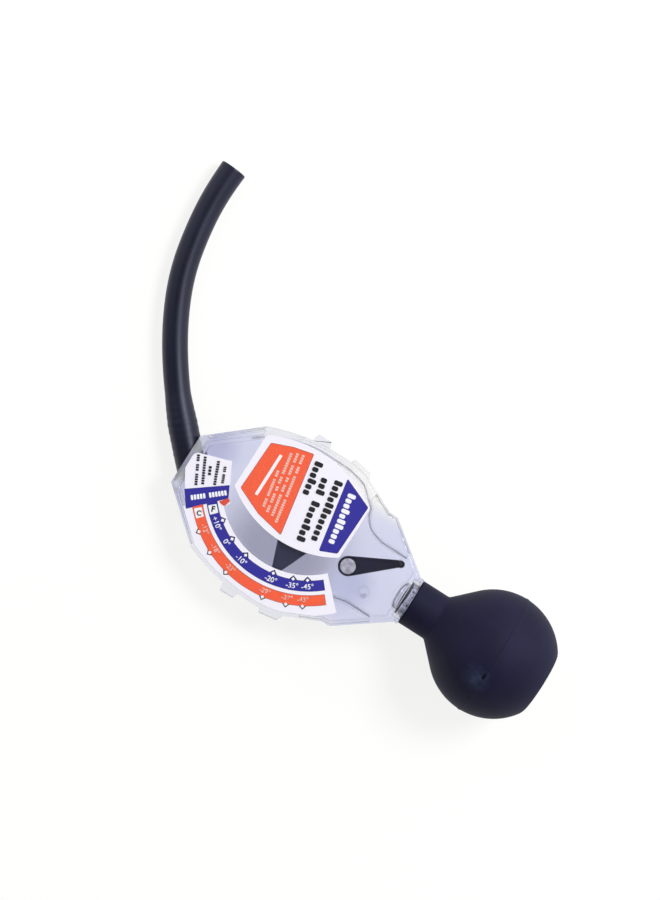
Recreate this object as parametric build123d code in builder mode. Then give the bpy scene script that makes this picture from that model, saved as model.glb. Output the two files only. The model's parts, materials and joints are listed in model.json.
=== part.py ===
"""Coolant tester: clear dial housing, suction hose, rubber bulb and a floating pointer.

Everything but the hose is drawn in the dial's own frame: X from the hose end to the bulb,
Y across the dial, Z out of its face. The last section lays the tester down as it rests.
"""

import math
import os

from build123d import *

os.makedirs("parts", exist_ok=True)

# Housing: outline, depth and walls
housing_length = 102.0
housing_half_width = 33.0
end_face_half = 10.4
half_depth = 7.5
face_wall = 1.6
side_wall = 1.5
face_bevel = 1.2
outline_shares = ((0.192, 0.827), (0.358, 0.970), (0.485, 1.0), (0.564, 0.985), (0.629, 0.927))
shoulder_shares = ((0.754, 0.748), (0.791, 0.742))
overrun = 5.0

# Snap tabs on both long edges, one square and one that slopes towards the bulb
square_tab_start_share = 0.3657
square_tab_length = 8.1
sloped_tab_start_share = 0.5314
sloped_tab_length = 10.0
tab_reach = 2.4
tab_root = 3.0
tab_corner = 1.6
tab_depth = 3.2
tab_round = 0.4
rear_tab_extra = 0.5
square_tab_reach_shares = (1.0, 0.96)
sloped_tab_reach_shares = (0.67, 0.17)

# Chamber inside the housing
chamber_start = 5.0
chamber_start_half = 9.3
chamber_curve_shares = ((0.212, 0.700), (0.353, 0.867), (0.485, 0.894), (0.564, 0.880), (0.618, 0.830))
chamber_bend_shares = ((0.681, 0.660), (0.710, 0.490), (0.750, 0.412))
channel_half = 12.5
channel_end_half = 9.8
channel_end_run = 4.2
chamber_wall = 1.5
slot_start = 3.2
slot_end = 20.0
pocket_start_share = 0.6716
pocket_end_gap = 9.0
seal_width = 0.7
seal_depth = 0.7
seal_start = 17.0
seal_end_gap = 10.0

# Bulb, neck and the spigot that carries it
bulb_radius = 24.9
bulb_standoff = 37.9
bulb_wall = 2.4
bulb_flat_radius = 13.3
bulb_flat_edge = 0.6
bulb_shoulder_slope = 45.0
neck_radius = 9.4
neck_blend = 2.0
spigot_radius = 7.1
spigot_bore = 5.2
spigot_reach = 10.5
spigot_flange_radius = 8.2
spigot_flange = 1.2
spigot_ring_pitch = 2.6
spigot_ring_rise = 0.25
spigot_ring_length = 1.2
spigot_ring_count = 3
gasket_thickness = 0.6
glue_length = 1.4
neck_clearance = 0.1
collar_wall = 1.6
collar_run = 8.5
collar_neck_run = 4.5

# Hose, its nozzle and the slanted socket that holds them
hose_radius = 5.0
hose_bore = 3.0
hose_swell = 0.6
hose_straight = 11.0
hose_swell_length = 4.0
hose_swell_taper = 9.0
hose_swell_sink = 0.4
socket_offset = 1.6
socket_wall = 1.6
socket_clearance = 0.1
socket_hose_depth = 7.5
socket_floor = 1.6
nozzle_radius = 3.4
nozzle_bore = 2.2
nozzle_reach = 9.0
nozzle_flange_radius = 6.4
nozzle_flange = 1.4
nozzle_stub = 2.4
barb_rise = 0.35
barb_length = 2.2
barb_pitch = 2.9
barb_count = 3

# Pointer, its pin and its stops
pivot_shares = ((0.449, 0.4788),)
pin_radius = 0.75
pin_clearance = 0.05
pin_seat = 0.8
hub_radius = 3.4
hub_half = 4.6
boss_gap = 0.3
boss_radius = 2.6
vane_back = 1.4
vane_thickness = 2.6
pointer_length_share = 1.1485
pointer_angle = -80.9
pointer_low_angle = -133.0
pointer_high_angle = -52.0
vane_bulge = 9.9
vane_shares = ((0, -0.32), (0.40, -0.475), (0.876, -0.106), (1.0, 0), (0.876, 0.293), (0.58, 1.0),
               (0.29, 0.727), (0, 0.32))
tip_round = 0.35
tail_reach_share = 0.2727
tail_radius = 3.4
slug_radius = 2.4
slug_proud = 0.2
stop_radius = 1.0
stop_distance = 13.0
stop_clearance = 0.35

# Plumb arm and its pin
plumb_setback = 5.9
plumb_drop = 2.3
plumb_length = 20.3
plumb_angle = 215.0
plumb_half = 1.5
plumb_ring_radius = 3.9
plumb_tail_radius = 1.3
plumb_slug_radius = 3.0
plumb_slug_proud = 0.25
plumb_pin_radius = 0.5
plumb_boss_radius = 1.4
mould_ring_back = 6.6
mould_ring_drop = 16.5
mould_ring_radius = 2.35
mould_ring_wall = 0.6
mould_ring_height = 0.6

# Stickers on the face
sticker_thickness = 0.2
sticker_margin = 0.6
label_left_share = 0.2088
label_right_share = 0.6843
label_edge_gap = 3.1
label_high_left_share = 0.816
label_high_right_share = 0.7324
label_low_left = 1.5
label_low_right = -0.4
label_bottom = -7.0
label_round = 1.0
scale_inner_share = 1.006
scale_outer_share = 1.4758
scale_start_angle = 220.5
scale_end_angle = 315.0
tip_label_reach_share = 0.2324
tip_label_half_share = 0.4788
tip_shares = ((0.0675, 0.266), (0.650, 0.557), (0.835, 0.038), (0.928, -0.253), (1.0, -0.335),
              (0.924, -0.481), (0.726, -0.563), (0.439, -1.0), (0.253, -0.627), (0.073, -0.185))
tip_label_round = 2.6

# Hose route in the resting frame, chosen by hand, from just outside the nozzle to the open end
hose_route = (
    (-98.65, 23.7, 5.2),
    (-110.05, 40.65, 5.0),
    (-118.45, 58.65, 5.0),
    (-122.35, 76.4, 5.0),
    (-123.95, 93.25, 5.0),
    (-123.25, 103.95, 5.0),
)


def share_points(shares, length, height):
    """Points given as shares of a length and a height."""
    return [(along * length, across * height) for along, across in shares]


# Outline of the housing, half of it drawn and mirrored about the dial's long axis
collar_radius = spigot_flange_radius + neck_clearance + collar_wall
corner, rise_mid, crown, fall_mid, fall = share_points(outline_shares, housing_length, housing_half_width)
shoulder, shelf = share_points(shoulder_shares, housing_length, housing_half_width)
with BuildSketch() as housing_shape:
    with BuildLine():
        Polyline((0, 0), (0, end_face_half), corner)
        ThreePointArc(corner, rise_mid, crown)
        ThreePointArc(crown, fall_mid, fall)
        Polyline(fall, shoulder, shelf, (housing_length - side_wall, collar_radius),
                 (housing_length, collar_radius), (housing_length, 0))
        mirror(about=Plane.XZ)
    make_face()

# Outline of the wet chamber: wide for the pointer, narrow for the plumb arm
chamber_corner, chamber_rise, chamber_crown, chamber_fall_mid, chamber_fall = share_points(
    chamber_curve_shares, housing_length, housing_half_width)
bend_start, bend_mid, bend_end = share_points(chamber_bend_shares, housing_length, housing_half_width)
neck_wall_start = (housing_length - glue_length - spigot_flange - gasket_thickness
                   - neck_clearance - collar_wall)
mouth_start = neck_wall_start + collar_wall
channel_turn = (neck_wall_start - channel_end_run, channel_half)
with BuildSketch() as chamber_shape:
    with BuildLine():
        Polyline((chamber_start, 0), (chamber_start, chamber_start_half), chamber_corner)
        ThreePointArc(chamber_corner, chamber_rise, chamber_crown)
        ThreePointArc(chamber_crown, chamber_fall_mid, chamber_fall)
        Line(chamber_fall, bend_start)
        ThreePointArc(bend_start, bend_mid, bend_end)
        Polyline(bend_end, (bend_end[0] + channel_end_run, channel_half), channel_turn,
                 (neck_wall_start, channel_end_half), (neck_wall_start, 0))
        mirror(about=Plane.XZ)
    make_face()

# Dry pockets between the chamber wall and the outer wall, at both ends of the housing
pocket_start = pocket_start_share * housing_length
pocket_end = housing_length - pocket_end_gap
with BuildSketch() as pocket_shape:
    add(housing_shape.sketch)
    offset(amount=-side_wall)
    with BuildSketch(mode=Mode.PRIVATE) as chamber_outside:
        add(chamber_shape.sketch)
        offset(amount=chamber_wall)
    add(chamber_outside.sketch, mode=Mode.SUBTRACT)
    with BuildSketch(mode=Mode.PRIVATE) as pocket_spans:
        for span_start, span_end in ((slot_start, slot_end), (pocket_start, pocket_end)):
            with Locations(((span_start + span_end) / 2, 0)):
                Rectangle(span_end - span_start, 2 * housing_half_width)
    add(pocket_spans.sketch, mode=Mode.INTERSECT)

# Sealing bead in the middle of the chamber wall
seal_end = housing_length - seal_end_gap
with BuildSketch() as seal_shape:
    add(chamber_shape.sketch)
    offset(amount=(chamber_wall + seal_width) / 2)
    with BuildSketch(mode=Mode.PRIVATE) as seal_inside:
        add(chamber_shape.sketch)
        offset(amount=(chamber_wall - seal_width) / 2)
    add(seal_inside.sketch, mode=Mode.SUBTRACT)
    with BuildSketch(mode=Mode.PRIVATE) as seal_span:
        with Locations(((seal_start + seal_end) / 2, 0)):
            Rectangle(seal_end - seal_start, 2 * housing_half_width)
    add(seal_span.sketch, mode=Mode.INTERSECT)


tabs = (
    (square_tab_start_share * housing_length, square_tab_length,
     *(tab_reach * share for share in square_tab_reach_shares)),
    (sloped_tab_start_share * housing_length, sloped_tab_length,
     *(tab_reach * share for share in sloped_tab_reach_shares)),
)


def tab_sketch(extra):
    """Four snap tabs, with the ones on the lower edge reaching further by extra."""
    with BuildSketch(mode=Mode.PRIVATE) as tab_shape:
        for side, longer in ((1, 0), (-1, extra)):
            for start, length, first_reach, last_reach in tabs:
                root = side * (housing_half_width - tab_root)
                with BuildLine():
                    Polyline(
                        (start, root),
                        (start, side * (housing_half_width + first_reach + longer - tab_corner)),
                        (start + tab_corner / 2, side * (housing_half_width + first_reach + longer)),
                        (start + length - tab_corner, side * (housing_half_width + last_reach + longer)),
                        (start + length, root),
                        close=True,
                    )
                make_face()
        outer_corners = [v for v in tab_shape.vertices() if abs(v.Y) > housing_half_width]
        fillet(outer_corners, tab_round)
    return tab_shape.sketch


# The slanted axis that the hose and nozzle share, pointing out of the housing
nozzle_plane = Plane(origin=(0, socket_offset, 0), x_dir=(0, 0, 1), z_dir=(-1, 1, 0))
hose_swell_radius = hose_radius + hose_swell
socket_radius = hose_swell_radius + socket_clearance + socket_wall
flange_back = -socket_hose_depth - nozzle_flange
socket_back = flange_back - socket_clearance - socket_floor

# Half a housing, facing up: a tray with chamber walls, half a socket and half a collar
collar_root = housing_length - collar_run
collar_full = housing_length - collar_neck_run
with BuildPart() as socket_block:
    with BuildSketch(nozzle_plane.offset(socket_back)):
        Circle(socket_radius)
    extrude(amount=-socket_back + housing_length)
    extrude(housing_shape.sketch, amount=half_depth, both=True, mode=Mode.INTERSECT)

with BuildPart() as half_shell:
    extrude(housing_shape.sketch, amount=half_depth)
    chamfer(half_shell.faces().sort_by(Axis.Z)[-1].outer_wire().edges(), face_bevel)
    with BuildSketch(Plane.XZ):
        with BuildLine():
            Polyline((collar_root, 0), (collar_root, half_depth - face_bevel),
                     (collar_full, collar_radius), (housing_length, collar_radius),
                     (housing_length, 0), close=True)
        make_face()
    revolve(axis=Axis.X)
    extrude(chamber_shape.sketch, amount=half_depth - face_wall, mode=Mode.SUBTRACT)
    extrude(pocket_shape.sketch, amount=half_depth - face_wall, mode=Mode.SUBTRACT)
    with BuildSketch(Plane.YZ.offset(neck_wall_start - overrun)):
        Circle(spigot_bore)
    extrude(amount=housing_length, mode=Mode.SUBTRACT)
    with BuildSketch(Plane.YZ.offset(mouth_start)):
        Circle(spigot_flange_radius + neck_clearance)
    extrude(amount=housing_length, mode=Mode.SUBTRACT)
    add(socket_block.part)
    with BuildSketch(nozzle_plane.offset(-socket_hose_depth)):
        Circle(hose_swell_radius + socket_clearance)
    extrude(amount=housing_length, mode=Mode.SUBTRACT)
    with BuildSketch(nozzle_plane.offset(flange_back - socket_clearance)):
        Circle(nozzle_flange_radius + socket_clearance)
    extrude(amount=nozzle_flange + 2 * socket_clearance, mode=Mode.SUBTRACT)
    with BuildSketch(nozzle_plane.offset(socket_back - overrun)):
        Circle(nozzle_radius + socket_clearance)
    extrude(amount=overrun + 2 * socket_floor, mode=Mode.SUBTRACT)
    split(bisect_by=Plane.XY, keep=Keep.TOP)

inner_face = half_depth - face_wall
boss_end = hub_half + boss_gap
plumb_boss_end = plumb_half + boss_gap
pin_end = inner_face + pin_seat
((pivot_x, pivot_y),) = share_points(pivot_shares, housing_length, housing_half_width)
plumb_x = neck_wall_start - plumb_setback
plumb_y = channel_half - plumb_drop
mould_ring_x = plumb_x - mould_ring_back
mould_ring_y = plumb_y - mould_ring_drop


def boss(x, y, radius, bore, start, top):
    """A round boss on the inner face, from start up to it, bored for a pin."""
    with BuildPart(mode=Mode.PRIVATE) as post:
        with BuildSketch(Plane.XY.offset(start)):
            with Locations((x, y)):
                Circle(radius)
        extrude(amount=top - start)
        with BuildSketch(Plane.XY.offset(start)):
            with Locations((x, y)):
                Circle(bore)
        extrude(amount=pin_end - start, mode=Mode.SUBTRACT)
    return post.part


def pin_holes(x, y, bore):
    """The blind seats that a pin's two ends have in the faces."""
    with BuildPart(mode=Mode.PRIVATE) as seats:
        with BuildSketch(Plane.XY.offset(-pin_end)):
            with Locations((x, y)):
                Circle(bore)
        extrude(amount=2 * pin_end)
    return seats.part


pivot_boss = boss(pivot_x, pivot_y, boss_radius, pin_radius, boss_end, inner_face)
plumb_boss = boss(plumb_x, plumb_y, plumb_boss_radius, plumb_pin_radius, plumb_boss_end, inner_face)
pivot_seats = pin_holes(pivot_x, pivot_y, pin_radius)
plumb_seats = pin_holes(plumb_x, plumb_y, plumb_pin_radius)

with BuildPart() as front_shell:
    add(half_shell.part)
    extrude(tab_sketch(0), amount=tab_depth)
    add(pivot_boss)
    add(plumb_boss)
    with BuildSketch(Plane.XY.offset(inner_face - mould_ring_height)):
        with Locations((mould_ring_x, mould_ring_y)):
            Circle(mould_ring_radius)
            Circle(mould_ring_radius - mould_ring_wall, mode=Mode.SUBTRACT)
    extrude(amount=mould_ring_height)
    add(pivot_seats, mode=Mode.SUBTRACT)
    add(plumb_seats, mode=Mode.SUBTRACT)
    extrude(seal_shape.sketch, amount=seal_depth, mode=Mode.SUBTRACT)
front_shell.part.label = "front_shell"

# Rear half: the same tray face down, with the pegs that stop the pointer's edges
pointer_length = pointer_length_share * housing_half_width
vane_points = share_points(vane_shares, pointer_length, vane_bulge)
left_edge = -min(across for along, across in vane_points)
right_edge = vane_points[-2][1]
low_stop_angle = math.radians(pointer_low_angle) - math.asin(
    (left_edge + stop_radius + stop_clearance) / stop_distance)
high_stop_angle = math.radians(pointer_high_angle) + math.asin(
    (right_edge + stop_radius + stop_clearance) / stop_distance)
with BuildPart() as rear_shell:
    mirror(half_shell.part, about=Plane.XY)
    extrude(tab_sketch(rear_tab_extra), amount=-tab_depth)
    mirror(pivot_boss, about=Plane.XY)
    mirror(plumb_boss, about=Plane.XY)
    with BuildSketch(Plane.XY.offset(-inner_face)):
        for stop_angle in (low_stop_angle, high_stop_angle):
            with Locations((pivot_x + stop_distance * math.cos(stop_angle),
                            pivot_y + stop_distance * math.sin(stop_angle))):
                Circle(stop_radius)
    extrude(amount=inner_face + vane_back + vane_thickness)
    add(pivot_seats, mode=Mode.SUBTRACT)
    add(plumb_seats, mode=Mode.SUBTRACT)
rear_shell.part.label = "rear_shell"

# Bead that seals the wet chamber, an upper and a lower run
with BuildPart() as chamber_seal:
    extrude(seal_shape.sketch, amount=seal_depth)
chamber_seal.part.label = "chamber_seal"

# Pins, pressed into the bosses of both halves
with BuildPart() as pivot_pin:
    add(pivot_seats)
pivot_pin.part.label = "pivot_pin"

with BuildPart() as plumb_pin:
    add(plumb_seats)
plumb_pin.part.label = "plumb_pin"

# Pointer: a hub on the pin, a tail for the slug and a lopsided vane that ends in the tip
tail_reach = tail_reach_share * housing_half_width
pointer_plane = Plane(
    origin=(pivot_x, pivot_y, vane_back),
    x_dir=(math.cos(math.radians(pointer_angle)), math.sin(math.radians(pointer_angle)), 0),
    z_dir=(0, 0, 1),
)
with BuildPart() as pointer_vane:
    with BuildSketch(pointer_plane):
        with BuildLine():
            Polyline(*vane_points, close=True)
        make_face()
        fillet(vertices().sort_by(Axis.X)[-1], tip_round)
        Circle(hub_radius)
        with Locations((-tail_reach, 0)):
            Circle(tail_radius)
        with Locations((-tail_reach / 2, 0)):
            Rectangle(tail_reach, 2 * hub_radius)
    extrude(amount=vane_thickness)
    with BuildSketch(pointer_plane.offset(-vane_back - hub_half)):
        Circle(hub_radius)
    extrude(amount=2 * hub_half)
    with BuildSketch(pointer_plane.offset(-vane_back - hub_half)):
        Circle(pin_radius + pin_clearance)
    extrude(amount=2 * hub_half, mode=Mode.SUBTRACT)
    with BuildSketch(pointer_plane):
        with Locations((-tail_reach, 0)):
            Circle(slug_radius)
    extrude(amount=vane_thickness, mode=Mode.SUBTRACT)
pointer_vane.part.label = "pointer_vane"

with BuildPart() as pointer_weight:
    with BuildSketch(pointer_plane.offset(-slug_proud)):
        with Locations((-tail_reach, 0)):
            Circle(slug_radius)
    extrude(amount=vane_thickness + 2 * slug_proud)
pointer_weight.part.label = "pointer_weight"

# Plumb arm: narrow at its pin, with a ring for its slug at the other end
plumb_plane = Plane(
    origin=(plumb_x, plumb_y, -plumb_half),
    x_dir=(math.cos(math.radians(plumb_angle)), math.sin(math.radians(plumb_angle)), 0),
    z_dir=(0, 0, 1),
)
flank = math.acos((plumb_tail_radius - plumb_ring_radius) / plumb_length)
with BuildPart() as plumb_arm:
    with BuildSketch(plumb_plane):
        Circle(plumb_tail_radius)
        with Locations((plumb_length, 0)):
            Circle(plumb_ring_radius)
        with BuildLine():
            Polyline(
                (plumb_tail_radius * math.cos(flank), plumb_tail_radius * math.sin(flank)),
                (plumb_length + plumb_ring_radius * math.cos(flank), plumb_ring_radius * math.sin(flank)),
                (plumb_length + plumb_ring_radius * math.cos(flank), -plumb_ring_radius * math.sin(flank)),
                (plumb_tail_radius * math.cos(flank), -plumb_tail_radius * math.sin(flank)),
                close=True,
            )
        make_face()
        Circle(plumb_pin_radius + pin_clearance, mode=Mode.SUBTRACT)
        with Locations((plumb_length, 0)):
            Circle(plumb_slug_radius, mode=Mode.SUBTRACT)
    extrude(amount=2 * plumb_half)
plumb_arm.part.label = "plumb_arm"

with BuildPart() as plumb_weight:
    with BuildSketch(plumb_plane.offset(-plumb_slug_proud)):
        with Locations((plumb_length, 0)):
            Circle(plumb_slug_radius)
    extrude(amount=2 * (plumb_half + plumb_slug_proud))
plumb_weight.part.label = "plumb_weight"

# Nozzle: a flange held in the socket, a stub into the chamber and a barbed end for the hose
with BuildPart() as hose_nozzle:
    with BuildSketch(nozzle_plane.offset(socket_back - nozzle_stub)):
        Circle(nozzle_radius)
    extrude(amount=-socket_back + nozzle_stub + nozzle_reach - socket_hose_depth)
    with BuildSketch(nozzle_plane.offset(flange_back)):
        Circle(nozzle_flange_radius)
    extrude(amount=nozzle_flange)
    for barb in range(barb_count):
        barb_start = nozzle_reach - socket_hose_depth - barb_length - barb * barb_pitch
        with BuildSketch(nozzle_plane.offset(barb_start)):
            Circle(nozzle_radius + barb_rise)
        with BuildSketch(nozzle_plane.offset(barb_start + barb_length)):
            Circle(nozzle_radius)
        loft()
    with BuildSketch(nozzle_plane.offset(socket_back - nozzle_stub)):
        Circle(nozzle_bore)
    extrude(amount=housing_length, mode=Mode.SUBTRACT)
hose_nozzle.part.label = "hose_nozzle"

# Washer, spigot and glue ring in the housing's mouth, from the inside out
flange_start = mouth_start + gasket_thickness
flange_end = flange_start + spigot_flange
with BuildPart() as neck_gasket:
    with BuildSketch(Plane.YZ.offset(mouth_start)):
        Circle(spigot_flange_radius)
        Circle(spigot_bore, mode=Mode.SUBTRACT)
    extrude(amount=gasket_thickness)
neck_gasket.part.label = "neck_gasket"

with BuildPart() as neck_spigot:
    with BuildSketch(Plane.YZ.offset(flange_start)):
        Circle(spigot_flange_radius)
    extrude(amount=spigot_flange)
    with BuildSketch(Plane.YZ.offset(flange_start)):
        Circle(spigot_radius)
    extrude(amount=housing_length - flange_start + spigot_reach)
    for ring in range(spigot_ring_count):
        ring_end = housing_length + spigot_reach - ring * spigot_ring_pitch
        with BuildSketch(Plane.YZ.offset(ring_end - spigot_ring_length)):
            Circle(spigot_radius + spigot_ring_rise)
        with BuildSketch(Plane.YZ.offset(ring_end)):
            Circle(spigot_radius)
        loft()
    with BuildSketch(Plane.YZ.offset(flange_start)):
        Circle(spigot_bore)
    extrude(amount=housing_length, mode=Mode.SUBTRACT)
neck_spigot.part.label = "neck_spigot"

with BuildPart() as neck_glue_bead:
    with BuildSketch(Plane.YZ.offset(flange_end)):
        Circle(spigot_flange_radius + neck_clearance)
        Circle(spigot_radius, mode=Mode.SUBTRACT)
    extrude(amount=housing_length - flange_end)
neck_glue_bead.part.label = "neck_glue_bead"

# Bulb: neck pushed on the spigot, round body, flat end
bulb_centre = housing_length + bulb_standoff
bulb_flat_x = bulb_centre + math.sqrt(bulb_radius**2 - bulb_flat_radius**2)
shoulder_sin = math.sin(math.radians(bulb_shoulder_slope))
shoulder_cos = math.cos(math.radians(bulb_shoulder_slope))
shoulder_tan = math.tan(math.radians(bulb_shoulder_slope))
shoulder_point = (bulb_centre - bulb_radius * shoulder_sin, bulb_radius * shoulder_cos)
neck_meet_x = shoulder_point[0] - (shoulder_point[1] - neck_radius) / shoulder_tan
bulb_inside = bulb_radius - bulb_wall
inner_flat_x = bulb_flat_x - bulb_wall
inner_flat_radius = math.sqrt(bulb_inside**2 - (inner_flat_x - bulb_centre) ** 2)
inner_shoulder = (bulb_centre - bulb_inside * shoulder_sin, bulb_inside * shoulder_cos)
inner_meet_x = inner_shoulder[0] - (inner_shoulder[1] - spigot_radius) / shoulder_tan
with BuildPart() as squeeze_bulb:
    with BuildSketch(Plane.XZ) as bulb_profile:
        with BuildLine():
            Polyline((inner_meet_x, 0), (housing_length, 0), (housing_length, neck_radius),
                     (neck_meet_x, neck_radius), shoulder_point)
            ThreePointArc(shoulder_point, (bulb_centre, bulb_radius),
                          (bulb_flat_x, bulb_flat_radius))
            Polyline((bulb_flat_x, bulb_flat_radius), (bulb_flat_x, 0), (inner_meet_x, 0))
        make_face()
        neck_corner = bulb_profile.vertices().sort_by_distance((neck_meet_x, 0, neck_radius))[0]
        fillet(neck_corner, neck_blend)
        flat_corner = bulb_profile.vertices().sort_by_distance((bulb_flat_x, 0, bulb_flat_radius))[0]
        fillet(flat_corner, bulb_flat_edge)
        with BuildLine():
            Polyline((inner_flat_x, 0), (housing_length, 0), (housing_length, spigot_radius),
                     (inner_meet_x, spigot_radius), inner_shoulder)
            ThreePointArc(inner_shoulder, (bulb_centre, bulb_inside),
                          (inner_flat_x, inner_flat_radius))
            Line((inner_flat_x, inner_flat_radius), (inner_flat_x, 0))
        make_face(mode=Mode.SUBTRACT)
    revolve(axis=Axis.X)
squeeze_bulb.part.label = "squeeze_bulb"

# Stickers, laid on the flat of the face
with BuildSketch() as face_flat:
    add(housing_shape.sketch)
    offset(amount=-face_bevel - sticker_margin)

label_left = label_left_share * housing_length
label_right = label_right_share * housing_length
label_top = housing_half_width - label_edge_gap
label_high_left = label_high_left_share * label_top
label_high_right = label_high_right_share * label_top
label_middle = (label_left + label_right) / 2
with BuildPart() as main_label:
    with BuildSketch(Plane.XY.offset(half_depth)):
        with BuildLine():
            Line((label_left, label_low_left), (label_left, label_high_left))
            ThreePointArc((label_left, label_high_left), (label_middle, label_top),
                          (label_right, label_high_right))
            Line((label_right, label_high_right), (label_right, label_low_right))
            ThreePointArc((label_right, label_low_right), (label_middle, label_bottom),
                          (label_left, label_low_left))
        make_face()
        fillet(vertices(), label_round)
    extrude(amount=sticker_thickness)
main_label.part.label = "main_label"

tip_label_reach = tip_label_reach_share * housing_length
tip_label_half = tip_label_half_share * housing_half_width
with BuildPart() as tip_label:
    with BuildSketch(Plane.XY.offset(half_depth)):
        with BuildLine():
            Polyline(*share_points(tip_shares, tip_label_reach, tip_label_half), close=True)
        make_face()
        fillet(vertices().sort_by(Axis.X)[0], tip_label_round)
    extrude(amount=sticker_thickness)
tip_label.part.label = "tip_label"

scale_inner = scale_inner_share * housing_half_width
scale_outer = scale_outer_share * housing_half_width
with BuildPart() as scale_label:
    with BuildSketch(Plane.XY.offset(half_depth)):
        with BuildLine():
            inner_arc = CenterArc((pivot_x, pivot_y), scale_inner, scale_start_angle,
                                  scale_end_angle - scale_start_angle)
            outer_arc = CenterArc((pivot_x, pivot_y), scale_outer, scale_start_angle,
                                  scale_end_angle - scale_start_angle)
            Line(inner_arc @ 0, outer_arc @ 0)
            Line(inner_arc @ 1, outer_arc @ 1)
        make_face()
    extrude(amount=sticker_thickness)
    extrude(face_flat.sketch, amount=half_depth + sticker_thickness, mode=Mode.INTERSECT)
    add(tip_label.part, mode=Mode.SUBTRACT)
scale_label.part.label = "scale_label"

# Resting pose: the housing's rear edge and the bulb's underside both touch the floor
rear_edge = Vector(face_bevel, 0, -half_depth)
bulb_run = bulb_centre - rear_edge.X
bulb_slope = math.asin(bulb_radius / math.hypot(half_depth, bulb_run))
rest_tilt = math.degrees(bulb_slope - math.atan2(half_depth, bulb_run))
dial_pieces = (
    front_shell, rear_shell, chamber_seal, pivot_pin, plumb_pin, pointer_vane, pointer_weight,
    plumb_arm, plumb_weight, hose_nozzle, neck_gasket, neck_spigot, neck_glue_bead, squeeze_bulb,
    main_label, scale_label, tip_label,
)
tilted = Location((0, 0, 0), (0, -rest_tilt, 0))
tilted_box = Compound([piece.part.moved(tilted) for piece in dial_pieces]).bounding_box()
rest_place = Location((-tilted_box.center().X, -tilted_box.center().Y, -tilted_box.min.Z)) * tilted

# Hose: out of the nozzle along its axis, then along the floor in one slow bend
hose_start = (rest_place * Location(nozzle_plane.offset(-socket_hose_depth).origin)).position
hose_exit = (rest_place * Location(nozzle_plane.offset(hose_straight).origin)).position
route = [hose_start, hose_exit, *(Vector(*point) for point in hose_route)]
radii = []
for before, here, after in zip(route, route[1:], route[2:]):
    turn = (here - before).get_angle(after - here)
    shorter = min((here - before).length, (after - here).length)
    radii.append(0.45 * shorter / math.tan(math.radians(turn / 2)))
start_plane = Plane(origin=hose_start, z_dir=hose_exit - hose_start)
with BuildPart() as suction_hose:
    with BuildLine() as hose_line:
        FilletPolyline(*route, radius=radii)
    with BuildSketch(start_plane):
        Circle(hose_radius)
    sweep(path=hose_line.line)
    with BuildSketch(start_plane):
        Circle(hose_swell_radius)
    extrude(amount=socket_hose_depth + hose_swell_length)
    with BuildSketch(start_plane.offset(socket_hose_depth + hose_swell_length)):
        Circle(hose_swell_radius)
    with BuildSketch(start_plane.offset(socket_hose_depth + hose_swell_length + hose_swell_taper)):
        Circle(hose_radius - hose_swell_sink)
    loft()
    with BuildSketch(start_plane):
        Circle(hose_bore)
    sweep(path=hose_line.line, mode=Mode.SUBTRACT)
    with BuildSketch(start_plane):
        Circle(nozzle_radius)
    extrude(amount=nozzle_reach, mode=Mode.SUBTRACT)
suction_hose.part.label = "suction_hose"

for piece in dial_pieces:
    label = piece.part.label
    export_step(piece.part.moved(rest_place), f"parts/{label}.step")
export_step(suction_hose.part, "parts/suction_hose.step")

print("rest tilt", round(rest_tilt, 4), "shift", rest_place.position)
print("hose start", hose_start, "exit", hose_exit)
hose_length = sum(edge.length for edge in hose_line.edges())
print("hose radii", [round(radius, 1) for radius in radii], "length", round(hose_length, 2))
print("hose volume", round(suction_hose.part.volume, 1),
      "plain tube", round(math.pi * (hose_radius**2 - hose_bore**2) * hose_length, 1))
pivot_point = (rest_place * Location((pivot_x, pivot_y, 0))).position
plumb_point = (rest_place * Location((plumb_x, plumb_y, 0))).position
flat_point = (rest_place * Location((bulb_flat_x, 0, 0))).position
print("pointer pivot", pivot_point, "plumb pivot", plumb_point, "bulb flat", flat_point)
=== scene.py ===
"""Coolant tester lying on a pale table, seen square to its dial."""

import json
import math

import bmesh
import bpy
from mathutils import Matrix, Vector


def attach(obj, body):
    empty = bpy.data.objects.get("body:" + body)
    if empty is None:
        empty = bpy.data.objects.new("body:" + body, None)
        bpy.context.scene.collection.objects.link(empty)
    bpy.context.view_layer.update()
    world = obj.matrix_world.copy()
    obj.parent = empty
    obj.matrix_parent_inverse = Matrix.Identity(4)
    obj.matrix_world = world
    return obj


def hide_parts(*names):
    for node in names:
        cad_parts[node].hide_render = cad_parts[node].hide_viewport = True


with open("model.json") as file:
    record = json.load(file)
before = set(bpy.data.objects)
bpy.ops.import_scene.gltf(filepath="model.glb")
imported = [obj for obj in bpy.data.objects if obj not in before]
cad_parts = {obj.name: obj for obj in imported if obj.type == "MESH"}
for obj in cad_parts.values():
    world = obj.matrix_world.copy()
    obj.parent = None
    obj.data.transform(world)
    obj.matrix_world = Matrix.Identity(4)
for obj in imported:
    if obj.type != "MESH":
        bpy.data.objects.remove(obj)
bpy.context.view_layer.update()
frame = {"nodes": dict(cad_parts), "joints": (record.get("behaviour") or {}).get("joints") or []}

# The dial's own frame: along the tester from the hose end, across it, and out of its face.
# The pointer's hinge gives the face's normal and one known point on it.
PIVOT_ALONG = 0.045798
PIVOT_ACROSS = 0.0158
pointer_joint = next(joint for joint in frame["joints"] if joint["name"] == "pointer_swing")
out_of_face = Vector(pointer_joint["axis"]).normalized()
across_dial = Vector((0, 1, 0))
along_dial = across_dial.cross(out_of_face)
dial = Matrix((along_dial, across_dial, out_of_face)).transposed().to_4x4()
dial.translation = Vector(pointer_joint["pos_m"]) - PIVOT_ALONG * along_dial - PIVOT_ACROSS * across_dial

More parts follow.
